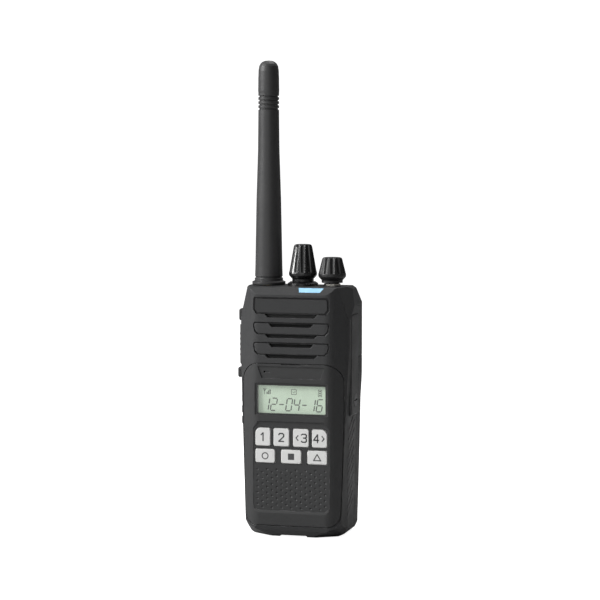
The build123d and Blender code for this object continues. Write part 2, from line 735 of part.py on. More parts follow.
def make_jack_cover():
    cover = cover_block(0, 26.5, 27.9)
    cover = chamfer(cover.faces().sort_by(Axis.X)[-1].edges(), 0.5)
    # upper hook that the cover turns about
    cover = cover + box(24.9, 26.6, cover_front + 2.8, cover_back - 2.8, 107.7, 108.7)
    # pads that close both jacks, countersunk screw hole
    cover = cover + along_x(jack_y, jack_big_z, 26.35, 26.6, 3.0)
    cover = cover + along_x(jack_y, jack_small_z, 26.35, 26.6, 2.5)
    cover = cover - along_x(screw_y, screw_z, 24, 29, 1.5)
    return cover - along_x(screw_y, screw_z, 27.0, 29, 3.35)


def make_cover_screw():
    screw = along_x(screw_y, screw_z, 27.05, 28.0, 3.25)
    screw = screw + along_x(screw_y, screw_z, 23.4, 27.1, 1.35)
    slot = box(27.5, 29, screw_y - 4, screw_y + 4, screw_z - 0.4, screw_z + 0.4)
    return screw - slot


def make_jack_block():
    """Two-pole accessory socket behind the right wall."""
    block = box(10.4, 24.4, -4.6, 2.9, 76.4, 98.4)
    block = block + along_x(jack_y, jack_big_z, 22.8, 26.2, 3.3)
    block = block + along_x(jack_y, jack_small_z, 22.8, 26.2, 2.8)
    block = block - along_x(jack_y, jack_big_z, 12.2, 28, 1.80)
    return block - along_x(jack_y, jack_small_z, 15.2, 28, 1.30)


# ---- battery pack, latch and belt clip -----------------------------------
def make_battery_case():
    gap = 0.25
    pack = envelope(0.0, 40) & box(-40, 40, seam_y + gap, 40, -1, pack_top - 0.05)
    pack = pack - (envelope(1.4, 40) & box(-22.6, 22.6, seam_y + gap + 1.3, back_y - 1.3, 3.6, 84.6))
    # bosses for the clip screws, contact window, latch notch and top tabs
    for x in clip_screw_x:
        pack = pack + along_y(x, clip_screw_z, 12.0, back_y - 1.2, 2.8)
        pack = pack - along_y(x, clip_screw_z, 13.0, back_y + 1, 1.05)
        tab = box(12 * x / 7 - 2.0, 12 * x / 7 + 2.0, 11.0, 13.6, pack_top - 0.5, pack_top + 1.4)
        pack = pack + tab
    pack = pack - box(-9.4, 9.4, seam_y, seam_y + 2, 70.4, 77.6)
    return pack - box(-5.2, 5.2, seam_y, seam_y + 3.4, -1, 2.6)


def make_battery_cells():
    y0, y1 = seam_y + 1.75, back_y - 1.6
    return group([slab(-21.4, -0.4, 5.2, 56.0, y0, y1, 1.2), slab(0.4, 21.4, 5.2, 56.0, y0, y1, 1.2)])


def make_battery_terminals():
    return group([box(x - 1.4, x + 1.4, seam_y + 1.3, seam_y + 2.0, 71.2, 76.8)
                  for x in (-6.6, -2.2, 2.2, 6.6)])


def make_latch():
    """Sliding catch in the base that keeps the pack closed."""
    plate = box(-7.0, 7.0, 2.5, 8.2, 0.3, 1.7)
    plate = plate + box(-8.4, 8.4, 3.2, 7.0, 0.9, 1.5)
    plate = plate + box(-4.6, 4.6, 8.1, 10.6, 0.5, 1.5)
    for i in range(3):
        plate = plate - box(-5.5, 5.5, 3.4 + 1.3 * i, 4.0 + 1.3 * i, 0, 0.6)
    return plate


def make_clip_bracket():
    """Plate screwed to the pack with two ears for the clip's pin."""
    outline = [(-12.3, 56.5), (12.3, 56.5), (12.3, 78.0), (-12.3, 78.0)]
    bracket = face(outline, 2.0, back_y, back_y + 1.8)
    ear = [(back_y + 0.5, 64.5), (clip_y - 0.5, 66.5), (clip_y + 2.4, 68.6), (clip_y + 2.4, 71.6),
           (clip_y - 0.5, 74.0), (back_y + 0.5, 76.0)]
    bracket = bracket + side(ear, 0.6, -12.3, -10.4) + side(ear, 0.6, 10.4, 12.3)
    bracket = bracket - along_x(clip_y, clip_z, -14, 14, 1.3)
    for x in clip_screw_x:
        bracket = bracket - along_y(x, clip_screw_z, back_y - 1, back_y + 3, 1.3)
    return bracket


def make_clip_screws():
    screws = []
    for x in clip_screw_x:
        head = along_y(x, clip_screw_z, back_y + 1.8, back_y + 3.0, 2.2, 1.9)
        screw = head + along_y(x, clip_screw_z, 13.6, back_y + 1.9, 1.0)
        low, high = clip_screw_z - 1.2, clip_screw_z + 1.2
        cross = box(x - 1.2, x + 1.2, back_y + 2.4, back_y + 4, clip_screw_z - 0.2, clip_screw_z + 0.2)
        cross = cross + box(x - 0.2, x + 0.2, back_y + 2.4, back_y + 4, low, high)
        screws.append(screw - cross)
    return group(screws)


def make_clip_pin():
    return along_x(clip_y, clip_z, -12.3, 12.3, 1.3)


def make_clip_spring():
    """Torsion spring round the pin, drawn as closed coils with two legs."""
    coils = []
    for i in range(6):
        coils.append(Pos(-2.25 + 0.9 * i, clip_y, clip_z) * Rot(0, 90, 0) * Torus(2.1, 0.4))
    spine = box(-2.4, 2.4, clip_y - 2.5, clip_y - 1.7, clip_z - 0.4, clip_z + 0.4)
    leg = box(-2.6, -1.9, clip_y - 2.6, clip_y - 1.8, clip_z - 6.0, clip_z)
    return spine + leg + coils


def make_belt_clip():
    profile = [(26.2, 79.5), (26.6, 62.0), (26.0, 34.0), (23.8, 24.0), (20.4, 18.0), (18.0, 16.6),
               (17.4, 17.8), (18.8, 20.0), (21.4, 25.5), (23.3, 34.0), (23.8, 62.0), (23.7, 79.5)]
    arm = side(profile, 0.45, -10.0, 10.0)
    arm = arm & face([(-10, 12), (10, 12), (10, 79), (7, 82), (-7, 82), (-10, 79)], 0, 10, 40)
    hubs = along_x(clip_y, clip_z, -10.0, -3.4, 2.7) + along_x(clip_y, clip_z, 3.4, 10.0, 2.7)
    arm = arm + hubs
    arm = arm - along_x(clip_y, clip_z, -14, 14, 1.36)
    # relief for the spring and a stiffening groove down the outside
    arm = arm - box(-3.4, 3.4, 18, 25.2, clip_z - 3.2, clip_z + 3.2)
    for x in (-4.5, 4.5):
        arm = arm - slab(x - 0.8, x + 0.8, 30, 62, 25.9, 28, 0.5)
    for i in range(4):
        arm = arm - box(-7, 7, 25.9, 28, 73.2 + 1.5 * i, 73.8 + 1.5 * i)
    return arm


def main():
    os.makedirs("parts", exist_ok=True)
    save("front_case", make_front_case())
    save("name_plate", make_name_plate())
    save("front_panel", make_front_panel())
    save("display_window", make_display_window())
    save("lcd_glass", make_lcd())
    save("lcd_holder", make_lcd_holder())
    for number in range(len(key_rows)):
        save(f"key_{number + 1}", make_key(number))
    save("key_mat", make_key_mat())
    save("dome_switches", make_dome_switches())
    save("speaker_mesh", make_speaker_mesh())
    save("speaker_basket", make_speaker_basket())
    save("speaker_cone", make_speaker_cone())
    save("speaker_magnet", make_speaker_magnet())
    save("microphone", make_microphone())
    save("microphone_boot", make_microphone_boot())
    save("main_board", make_main_board())
    save("shield_cans", make_shields())
    save("chassis", make_chassis())
    save("case_screws", make_case_screws())
    save("case_gasket", make_gasket())
    save("terminal_block", make_terminal_block())
    save("terminal_springs", make_terminal_springs())
    save("antenna_connector", make_antenna_connector())
    save("antenna_sleeve", make_antenna_sleeve())
    save("antenna_nut", make_antenna_nut())
    save("antenna_pin", make_antenna_pin())
    save("antenna_coil", make_antenna_coil())
    save("selector_switch", make_rotary(selector_x, 14.0))
    save("selector_shaft", make_shaft(selector_x, 14.0, 140.6))
    save("selector_knob", make_selector_knob() - make_selector_pointer())
    save("selector_pointer", make_selector_pointer() & make_selector_knob())
    save("selector_escutcheon", make_escutcheon())
    save("volume_switch", make_rotary(volume_x, 10.0))
    save("volume_shaft", make_shaft(volume_x, 10.0, 134.4))
    save("volume_knob", make_volume_knob())
    save("ring_nuts", make_ring_nuts())
    save("light_bar", make_light_bar())
    save("upper_side_key", make_side_key(upper_low, upper_high, upper_proud, 0.3))
    save("talk_key", make_side_key(ptt_low, ptt_high, talk_proud, 0.3) + make_ptt_ribs())
    save("lower_side_key", make_side_key(lower_low, lower_high, lower_proud, 0.3))
    save("side_membrane", make_side_membrane())
    save("side_board", make_side_board())
    save("jack_cover", make_jack_cover())
    save("cover_screw", make_cover_screw())
    save("jack_block", make_jack_block())
    save("battery_case", make_battery_case())
    save("battery_cells", make_battery_cells())
    save("battery_terminals", make_battery_terminals())
    save("pack_latch", make_latch())
    save("clip_bracket", make_clip_bracket())
    save("clip_screws", make_clip_screws())
    save("clip_pin", make_clip_pin())
    save("clip_spring", make_clip_spring())
    save("belt_clip", make_belt_clip())


main()
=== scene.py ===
import bpy
import bmesh
import math
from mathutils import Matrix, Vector


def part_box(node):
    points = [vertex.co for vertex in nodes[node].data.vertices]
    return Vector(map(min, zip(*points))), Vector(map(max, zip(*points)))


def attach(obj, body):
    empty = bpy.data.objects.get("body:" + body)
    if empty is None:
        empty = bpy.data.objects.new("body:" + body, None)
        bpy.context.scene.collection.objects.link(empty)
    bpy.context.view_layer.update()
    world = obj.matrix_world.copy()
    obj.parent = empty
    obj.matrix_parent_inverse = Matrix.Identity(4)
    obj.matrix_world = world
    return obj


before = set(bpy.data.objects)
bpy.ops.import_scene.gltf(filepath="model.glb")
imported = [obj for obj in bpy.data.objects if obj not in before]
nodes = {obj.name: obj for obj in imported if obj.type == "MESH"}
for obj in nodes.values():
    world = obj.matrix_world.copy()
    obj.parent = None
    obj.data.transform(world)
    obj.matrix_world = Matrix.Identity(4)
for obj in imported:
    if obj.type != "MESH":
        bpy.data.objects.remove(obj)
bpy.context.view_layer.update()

mm = 0.001       # marks are drawn in millimetres, the scene is in metres
print("frame loaded:", len(nodes), "nodes")


# effects shared by several materials

def newGroup(name, inputs, outputs):
    group = bpy.data.node_groups.new(name, "ShaderNodeTree")
    for label, kind, value in inputs:
        socket = group.interface.new_socket(name=label, in_out="INPUT", socket_type=kind)
        if value is not None:
            socket.default_value = value
    for label, kind in outputs:
        group.interface.new_socket(name=label, in_out="OUTPUT", socket_type=kind)
    source = group.nodes.new("NodeGroupInput")
    target = group.nodes.new("NodeGroupOutput")
    source.location = (-900, 0)
    target.location = (600, 0)
    return group, source, target


def addNode(tree, kind, place, **values):
    node = tree.nodes.new(kind)
    node.location = place
    for key, value in values.items():
        setattr(node, key, value)
    return node


def mathNode(tree, operation, place, first=None, second=None, clamp=False):
    node = addNode(tree, "ShaderNodeMath", place, operation=operation, use_clamp=clamp)
    for index, value in enumerate((first, second)):
        if value is None:
            continue
        if isinstance(value, (int, float)):
            node.inputs[index].default_value = value
        else:
            tree.links.new(value, node.inputs[index])
    return node.outputs[0]


grainSettings = {"fineDetail": 2.0, "slowScale": 45.0, "slowDetail": 5.0, "cellShare": 0.55}


def buildGrainGroup():
    # spark-eroded mould texture: a fine cell pattern over a slow swell
    s = grainSettings
    group, source, target = newGroup(
        "mouldGrain",
        [("Size", "NodeSocketFloat", 3000.0), ("Swell", "NodeSocketFloat", 0.3)],
        [("Height", "NodeSocketFloat"), ("Speckle", "NodeSocketFloat"), ("Drift", "NodeSocketFloat")])
    place = addNode(group, "ShaderNodeTexCoord", (-1100, -200))
    fine = addNode(group, "ShaderNodeTexNoise", (-600, 200))
    fine.inputs["Detail"].default_value = s["fineDetail"]
    cells = addNode(group, "ShaderNodeTexVoronoi", (-600, -100), feature="SMOOTH_F1")
    slow = addNode(group, "ShaderNodeTexNoise", (-600, -400))
    slow.inputs["Scale"].default_value = s["slowScale"]
    slow.inputs["Detail"].default_value = s["slowDetail"]
    for node in (fine, cells, slow):
        group.links.new(place.outputs["Object"], node.inputs["Vector"])
    group.links.new(source.outputs["Size"], fine.inputs["Scale"])
    half = mathNode(group, "MULTIPLY", (-800, -100), source.outputs["Size"], s["cellShare"])
    group.links.new(half, cells.inputs["Scale"])
    mixed = mathNode(group, "ADD", (-300, 100), fine.outputs["Fac"], cells.outputs["Distance"])
    swell = mathNode(group, "MULTIPLY", (-300, -300), slow.outputs["Fac"], source.outputs["Swell"])
    height = mathNode(group, "ADD", (0, 0), mixed, swell)
    group.links.new(height, target.inputs["Height"])
    group.links.new(fine.outputs["Fac"], target.inputs["Speckle"])
    group.links.new(slow.outputs["Fac"], target.inputs["Drift"])
    return group


edgeSettings = {"samples": 6, "gain": 9.0, "patchScale": 260.0, "patchDetail": 6.0, "contrast": 5.0}


def buildEdgeGroup():
    # rubbed edges: where a rounded normal leaves the flat one, broken up by noise
    s = edgeSettings
    group, source, target = newGroup(
        "rubbedEdge",
        [("Width", "NodeSocketFloat", 0.0005), ("Patchiness", "NodeSocketFloat", 0.5)],
        [("Mask", "NodeSocketFloat"), ("Normal", "NodeSocketVector")])
    bevel = addNode(group, "ShaderNodeBevel", (-600, 100), samples=s["samples"])
    group.links.new(source.outputs["Width"], bevel.inputs["Radius"])
    shape = addNode(group, "ShaderNodeNewGeometry", (-600, -100))
    dot = addNode(group, "ShaderNodeVectorMath", (-350, 0), operation="DOT_PRODUCT")
    group.links.new(bevel.outputs["Normal"], dot.inputs[0])
    group.links.new(shape.outputs["Normal"], dot.inputs[1])
    turned = mathNode(group, "SUBTRACT", (-150, 0), 1.0, dot.outputs["Value"])
    strong = mathNode(group, "MULTIPLY", (0, 0), turned, s["gain"], True)
    place = addNode(group, "ShaderNodeTexCoord", (-800, -350))
    patch = addNode(group, "ShaderNodeTexNoise", (-600, -350))
    patch.inputs["Scale"].default_value = s["patchScale"]
    patch.inputs["Detail"].default_value = s["patchDetail"]
    group.links.new(place.outputs["Object"], patch.inputs["Vector"])
    broken = mathNode(group, "SUBTRACT", (-350, -350), patch.outputs["Fac"], source.outputs["Patchiness"])
    broken = mathNode(group, "MULTIPLY", (-150, -350), broken, s["contrast"], True)
    mask = mathNode(group, "MULTIPLY", (200, 0), strong, broken, True)
    group.links.new(mask, target.inputs["Mask"])
    group.links.new(bevel.outputs["Normal"], target.inputs["Normal"])
    return group


handlingSettings = {"smearDetail": 4.0, "smearDistortion": 0.6, "middle": 0.5, "speckScale": 900.0,
                    "speckSize": 0.09, "topShare": 0.5}


def buildHandlingGroup():
    # skin oil and dust: smooth patches that shift the gloss, light specks on top faces
    s = handlingSettings
    group, source, target = newGroup(
        "handling",
        [("Spread", "NodeSocketFloat", 70.0), ("Amount", "NodeSocketFloat", 0.1)],
        [("Gloss", "NodeSocketFloat"), ("Dust", "NodeSocketFloat")])
    place = addNode(group, "ShaderNodeTexCoord", (-900, 0))
    smear = addNode(group, "ShaderNodeTexNoise", (-600, 150))
    smear.inputs["Detail"].default_value = s["smearDetail"]
    smear.inputs["Distortion"].default_value = s["smearDistortion"]
    group.links.new(place.outputs["Object"], smear.inputs["Vector"])
    group.links.new(source.outputs["Spread"], smear.inputs["Scale"])
    centred = mathNode(group, "SUBTRACT", (-350, 150), smear.outputs["Fac"], s["middle"])
    gloss = mathNode(group, "MULTIPLY", (-150, 150), centred, source.outputs["Amount"])
    specks = addNode(group, "ShaderNodeTexVoronoi", (-600, -200))
    specks.inputs["Scale"].default_value = s["speckScale"]
    group.links.new(place.outputs["Object"], specks.inputs["Vector"])
    near = mathNode(group, "LESS_THAN", (-350, -200), specks.outputs["Distance"], s["speckSize"])
    shape = addNode(group, "ShaderNodeNewGeometry", (-600, -450))
    parts = addNode(group, "ShaderNodeSeparateXYZ", (-350, -450))
    group.links.new(shape.outputs["Normal"], parts.inputs[0])
    up = mathNode(group, "MULTIPLY", (-150, -450), parts.outputs["Z"], s["topShare"], True)
    dust = mathNode(group, "MULTIPLY", (100, -250), near, up, True)
    group.links.new(gloss, target.inputs["Gloss"])
    group.links.new(dust, target.inputs["Dust"])
    return group


grainGroup = buildGrainGroup()
edgeGroup = buildEdgeGroup()
handlingGroup = buildHandlingGroup()


def placeGroup(tree, group, place, **values):
    node = addNode(tree, "ShaderNodeGroup", place, node_tree=group)
    for key, value in values.items():
        node.inputs[key].default_value = value
    return node


def mixColour(tree, place, factor, first, second, blend="MIX"):
    node = addNode(tree, "ShaderNodeMix", place, data_type="RGBA", blend_type=blend)
    tree.links.new(factor, node.inputs["Factor"])
    for key, value in (("A", first), ("B", second)):
        socket = [s for s in node.inputs if s.name == key and s.type == "RGBA"][0]
        if isinstance(value, (tuple, list)):
            socket.default_value = (*value[:3], 1.0)
        else:
            tree.links.new(value, socket)
    return [s for s in node.outputs if s.type == "RGBA"][0]


def startMaterial(name):
    material = bpy.data.materials.new(name)
    material.use_nodes = True
    tree = material.node_tree
    shader = tree.nodes["Principled BSDF"]
    return material, tree, shader


surfaceDefaults = {"swell": 0.3, "edgeWidth": 0.00035, "patchiness": 0.5, "smear": 70.0, "smearAmount": 0.25,
                   "speckFrom": 0.35, "speckTo": 0.75, "speckle": 0.35, "dust": (0.42, 0.40, 0.37),
                   "roughGrain": 0.12, "bump": 0.4, "bumpDepth": 0.00004, "metal": 0.0, "specular": 0.5,
                   "coat": 0.0, "coatRough": 0.1}


def surfaceMaterial(name, ownLook):
    # one recipe for moulded, rubber and metal parts; each look gives what differs from the defaults
    look = {**surfaceDefaults, "wornColour": ownLook["light"], **ownLook}
    material, tree, shader = startMaterial(name)
    grain = placeGroup(tree, grainGroup, (-900, 200), Size=look["grainSize"], Swell=look["swell"])
    edge = placeGroup(tree, edgeGroup, (-900, -100), Width=look["edgeWidth"], Patchiness=look["patchiness"])
    hand = placeGroup(tree, handlingGroup, (-900, -350), Spread=look["smear"], Amount=look["smearAmount"])
    tone = mixColour(tree, (-600, 300), grain.outputs["Drift"], look["colour"], look["second"])
    speck = addNode(tree, "ShaderNodeMapRange", (-750, 500))
    speck.inputs["From Min"].default_value = look["speckFrom"]
    speck.inputs["From Max"].default_value = look["speckTo"]
    speck.inputs["To Max"].default_value = look["speckle"]
    tree.links.new(grain.outputs["Speckle"], speck.inputs["Value"])
    lit = mixColour(tree, (-400, 300), speck.outputs["Result"], tone, look["light"])
    worn = mixColour(tree, (-200, 300), edge.outputs["Mask"], lit, look["wornColour"])
    dusty = mixColour(tree, (0, 300), hand.outputs["Dust"], worn, look["dust"])
    tree.links.new(dusty, shader.inputs["Base Color"])
    rough = mathNode(tree, "ADD", (-400, -250), hand.outputs["Gloss"], look["rough"])
    specked = mathNode(tree, "MULTIPLY", (-600, -400), grain.outputs["Speckle"], look["roughGrain"])
    rough = mathNode(tree, "ADD", (-200, -250), rough, specked, True)
    tree.links.new(rough, shader.inputs["Roughness"])
    bump = addNode(tree, "ShaderNodeBump", (-200, -50))
    bump.inputs["Strength"].default_value = look["bump"]
    bump.inputs["Distance"].default_value = look["bumpDepth"]
    tree.links.new(grain.outputs["Height"], bump.inputs["Height"])
    tree.links.new(edge.outputs["Normal"], bump.inputs["Normal"])
    tree.links.new(bump.outputs["Normal"], shader.inputs["Normal"])
    shader.inputs["Metallic"].default_value = look["metal"]
    shader.inputs["Specular IOR Level"].default_value = look["specular"]
    shader.inputs["Coat Weight"].default_value = look["coat"]
    shader.inputs["Coat Roughness"].default_value = look["coatRough"]
    return material


caseLook = {
    "colour": (0.0184, 0.0188, 0.0198), "second": (0.0238, 0.0243, 0.0252),
    "light": (0.0390, 0.0394, 0.0404), "rough": 0.46, "grainSize": 2600.0, "bump": 0.55,
    "bumpDepth": 0.00006, "wornColour": (0.12, 0.12, 0.12)}
casePlastic = surfaceMaterial("casePlastic", caseLook)

panelLook = {
    "colour": (0.0191, 0.0195, 0.0200), "second": (0.0240, 0.0244, 0.0249),
    "light": (0.0355, 0.0360, 0.0364), "rough": 0.44, "grainSize": 3400.0, "bump": 0.4,
    "bumpDepth": 0.00004, "wornColour": (0.12, 0.12, 0.12)}
panelPlastic = surfaceMaterial("panelPlastic", panelLook)

plateLook = {
    "colour": (0.0179, 0.0183, 0.0192), "second": (0.0205, 0.0210, 0.0215),
    "light": (0.0294, 0.0299, 0.0304), "rough": 0.40, "grainSize": 4200.0, "bump": 0.2,
    "bumpDepth": 0.00003}
platePlastic = surfaceMaterial("platePlastic", plateLook)

packLook = {
    "colour": (0.0122, 0.0122, 0.0126), "second": (0.0158, 0.0158, 0.0162),
    "light": (0.0270, 0.0270, 0.0274), "rough": 0.50, "grainSize": 2200.0, "bump": 0.6,
    "bumpDepth": 0.00007, "wornColour": (0.11, 0.11, 0.11)}
packPlastic = surfaceMaterial("packPlastic", packLook)

rubberLook = {
    "colour": (0.0251, 0.0251, 0.0259), "second": (0.0319, 0.0319, 0.0327),
    "light": (0.0460, 0.0460, 0.0460), "rough": 0.40, "grainSize": 1800.0, "swell": 0.7,
    "bump": 0.25, "bumpDepth": 0.00005, "smearAmount": 0.3}
antennaRubber = surfaceMaterial("antennaRubber", rubberLook)

keyRubberLook = {
    "colour": (0.0144, 0.0144, 0.0150), "second": (0.0192, 0.0192, 0.0198),
    "light": (0.0300, 0.0300, 0.0300), "rough": 0.52, "grainSize": 2400.0, "bump": 0.35,
    "bumpDepth": 0.00004}
keyRubber = surfaceMaterial("keyRubber", keyRubberLook)

siliconeLook = {
    "colour": (0.20, 0.20, 0.21), "second": (0.25, 0.25, 0.26), "light": (0.33, 0.33, 0.34),
    "rough": 0.50, "grainSize": 1500.0, "bump": 0.2}
silicone = surfaceMaterial("silicone", siliconeLook)

glossKnobLook = {
    "colour": (0.0054, 0.0054, 0.0059), "second": (0.0077, 0.0077, 0.0081),
    "light": (0.0108, 0.0108, 0.0113), "rough": 0.20, "grainSize": 3000.0, "bump": 0.12,
    "bumpDepth": 0.00002, "coat": 0.5, "smearAmount": 0.18}
glossKnob = surfaceMaterial("glossKnob", glossKnobLook)

satinKnobLook = {
    "colour": (0.0104, 0.0104, 0.0108), "second": (0.0136, 0.0136, 0.0140),
    "light": (0.0200, 0.0200, 0.0204), "rough": 0.38, "grainSize": 2800.0, "bump": 0.3,
    "bumpDepth": 0.00003}
satinKnob = surfaceMaterial("satinKnob", satinKnobLook)

whiteLook = {
    "colour": (0.6400, 0.6400, 0.6280), "second": (0.6880, 0.6880, 0.6800),
    "light": (0.7200, 0.7200, 0.7120), "rough": 0.36, "grainSize": 2600.0, "bump": 0.15,
    "bumpDepth": 0.00002, "speckle": 0.25, "wornColour": (0.70, 0.69, 0.66)}
whiteMoulding = surfaceMaterial("whiteMoulding", whiteLook)

steelLook = {
    "colour": (0.50, 0.50, 0.51), "second": (0.60, 0.60, 0.61), "light": (0.72, 0.72, 0.72),
    "rough": 0.26, "grainSize": 2000.0, "bump": 0.15, "metal": 1.0}
springSteel = surfaceMaterial("springSteel", steelLook)

nickelLook = {
    "colour": (0.62, 0.60, 0.55), "second": (0.70, 0.68, 0.63), "light": (0.80, 0.78, 0.73),
    "rough": 0.18, "grainSize": 2400.0, "bump": 0.1, "metal": 1.0}
nickelPlate = surfaceMaterial("nickelPlate", nickelLook)

brassLook = {
    "colour": (0.66, 0.48, 0.20), "second": (0.76, 0.57, 0.26), "light": (0.86, 0.70, 0.38),
    "rough": 0.22, "grainSize": 2400.0, "bump": 0.1, "metal": 1.0}
contactGold = surfaceMaterial("contactGold", brassLook)

copperLook = {
    "colour": (0.62, 0.27, 0.13), "second": (0.72, 0.34, 0.17), "light": (0.85, 0.48, 0.28),
    "rough": 0.25, "grainSize": 2400.0, "bump": 0.1, "metal": 1.0}
copperWire = surfaceMaterial("copperWire", copperLook)

castLook = {
    "colour": (0.42, 0.43, 0.44), "second": (0.52, 0.53, 0.54), "light": (0.64, 0.65, 0.66),
    "rough": 0.42, "grainSize": 1300.0, "bump": 0.7, "bumpDepth": 0.00008, "metal": 1.0}
dieCast = surfaceMaterial("dieCast", castLook)

mouldedLook = {
    "colour": (0.0180, 0.0180, 0.0186), "second": (0.0240, 0.0240, 0.0246),
    "light": (0.0360, 0.0360, 0.0360), "rough": 0.45, "grainSize": 2200.0, "bump": 0.3}
blackMoulding = surfaceMaterial("blackMoulding", mouldedLook)

screwLook = {
    "colour": (0.030, 0.030, 0.032), "second": (0.045, 0.045, 0.047), "light": (0.10, 0.10, 0.10),
    "rough": 0.34, "grainSize": 2200.0, "bump": 0.2, "metal": 0.6, "wornColour": (0.4, 0.4, 0.4)}
blackScrew = surfaceMaterial("blackScrew", screwLook)

wrapLook = {
    "colour": (0.04, 0.13, 0.32), "second": (0.05, 0.16, 0.38), "light": (0.12, 0.25, 0.48),
    "rough": 0.25, "grainSize": 900.0, "swell": 1.5, "bump": 0.3, "coat": 0.4}
cellWrap = surfaceMaterial("cellWrap", wrapLook)


def buildDisplayMaterial():
    # reflective panel: pale green ground, faint cell lines, slightly uneven light; the ground colour also
    # drives a painted glow that brightens the panel beyond its lighting
    look = {"ground": (0.46, 0.56, 0.44), "second": (0.52, 0.62, 0.50), "line": (0.40, 0.49, 0.39),
            "glow": 0.22, "slowScale": 60.0, "lineScale": 620.0, "lineEdge": 0.93, "lineShare": 0.35,
            "rough": 0.35}
    material, tree, shader = startMaterial("displayGroundPaintedGlow")
    place = addNode(tree, "ShaderNodeTexCoord", (-1100, 0))
    slow = addNode(tree, "ShaderNodeTexNoise", (-800, 200))
    slow.inputs["Scale"].default_value = look["slowScale"]
    tree.links.new(place.outputs["Object"], slow.inputs["Vector"])
    ground = mixColour(tree, (-500, 200), slow.outputs["Fac"], look["ground"], look["second"])
    wave = addNode(tree, "ShaderNodeTexWave", (-800, -100), bands_direction="X")
    wave.inputs["Scale"].default_value = look["lineScale"]
    tree.links.new(place.outputs["Object"], wave.inputs["Vector"])
    thin = mathNode(tree, "GREATER_THAN", (-600, -100), wave.outputs["Fac"], look["lineEdge"])
    faint = mathNode(tree, "MULTIPLY", (-450, -100), thin, look["lineShare"])
    colour = mixColour(tree, (-250, 100), faint, ground, look["line"])
    tree.links.new(colour, shader.inputs["Base Color"])
    tree.links.new(colour, shader.inputs["Emission Color"])
    # painted glow: the panel emits its own ground colour, though it holds no lamp
    shader.inputs["Emission Strength"].default_value = look["glow"]
    shader.inputs["Roughness"].default_value = look["rough"]
    return material


inkSettings = {"poolScale": 1800.0, "roughSpread": 0.2}


def buildSegmentMaterial(name, colour, second, rough):
    # printed or switched marks: ink with a little pooling
    material, tree, shader = startMaterial(name)
    place = addNode(tree, "ShaderNodeTexCoord", (-900, 0))
    pool = addNode(tree, "ShaderNodeTexNoise", (-650, 0))
    pool.inputs["Scale"].default_value = inkSettings["poolScale"]
    tree.links.new(place.outputs["Object"], pool.inputs["Vector"])
    ink = mixColour(tree, (-300, 100), pool.outputs["Fac"], colour, second)
    tree.links.new(ink, shader.inputs["Base Color"])
    uneven = mathNode(tree, "MULTIPLY", (-400, -150), pool.outputs["Fac"], inkSettings["roughSpread"])
    tree.links.new(mathNode(tree, "ADD", (-200, -150), uneven, rough), shader.inputs["Roughness"])
    return material


def buildLensMaterial():
    # clear hard-coated window: mostly see-through, faint wiping marks in the gloss
    look = {"smearScale": 160.0, "distortion": 1.2, "roughSpread": 0.16, "veilSpread": 0.05, "veil": 0.05,
            "colour": (0.62, 0.67, 0.64, 1.0)}
    material, tree, shader = startMaterial("clearLens")
    place = addNode(tree, "ShaderNodeTexCoord", (-1100, 0))
    smear = addNode(tree, "ShaderNodeTexNoise", (-850, 0))
    smear.inputs["Scale"].default_value = look["smearScale"]
    smear.inputs["Distortion"].default_value = look["distortion"]
    tree.links.new(place.outputs["Object"], smear.inputs["Vector"])
    low = mathNode(tree, "MULTIPLY", (-600, 0), smear.outputs["Fac"], look["roughSpread"])
    tree.links.new(low, shader.inputs["Roughness"])
    veil = mathNode(tree, "MULTIPLY", (-600, -200), smear.outputs["Fac"], look["veilSpread"])
    tree.links.new(mathNode(tree, "ADD", (-400, -200), veil, look["veil"]), shader.inputs["Alpha"])
    shader.inputs["Base Color"].default_value = look["colour"]
    return material


def buildLightBarMaterial():
    # translucent blue light guide, paler towards its middle
    look = {"deep": (0.20, 0.45, 0.66), "pale": (0.42, 0.66, 0.84), "glow": 0.30,
            "cloudScale": 180.0, "roughSpread": 0.3}
    material, tree, shader = startMaterial("lightGuide")
    place = addNode(tree, "ShaderNodeTexCoord", (-1000, 0))
    cloud = addNode(tree, "ShaderNodeTexNoise", (-750, 0))
    cloud.inputs["Scale"].default_value = look["cloudScale"]
    tree.links.new(place.outputs["Object"], cloud.inputs["Vector"])
    colour = mixColour(tree, (-450, 100), cloud.outputs["Fac"], look["deep"], look["pale"])
    tree.links.new(colour, shader.inputs["Base Color"])
    tree.links.new(colour, shader.inputs["Emission Color"])
    shader.inputs["Emission Strength"].default_value = look["glow"]
    uneven = mathNode(tree, "MULTIPLY", (-450, -150), cloud.outputs["Fac"], look["roughSpread"])
    tree.links.new(uneven, shader.inputs["Roughness"])
    return material


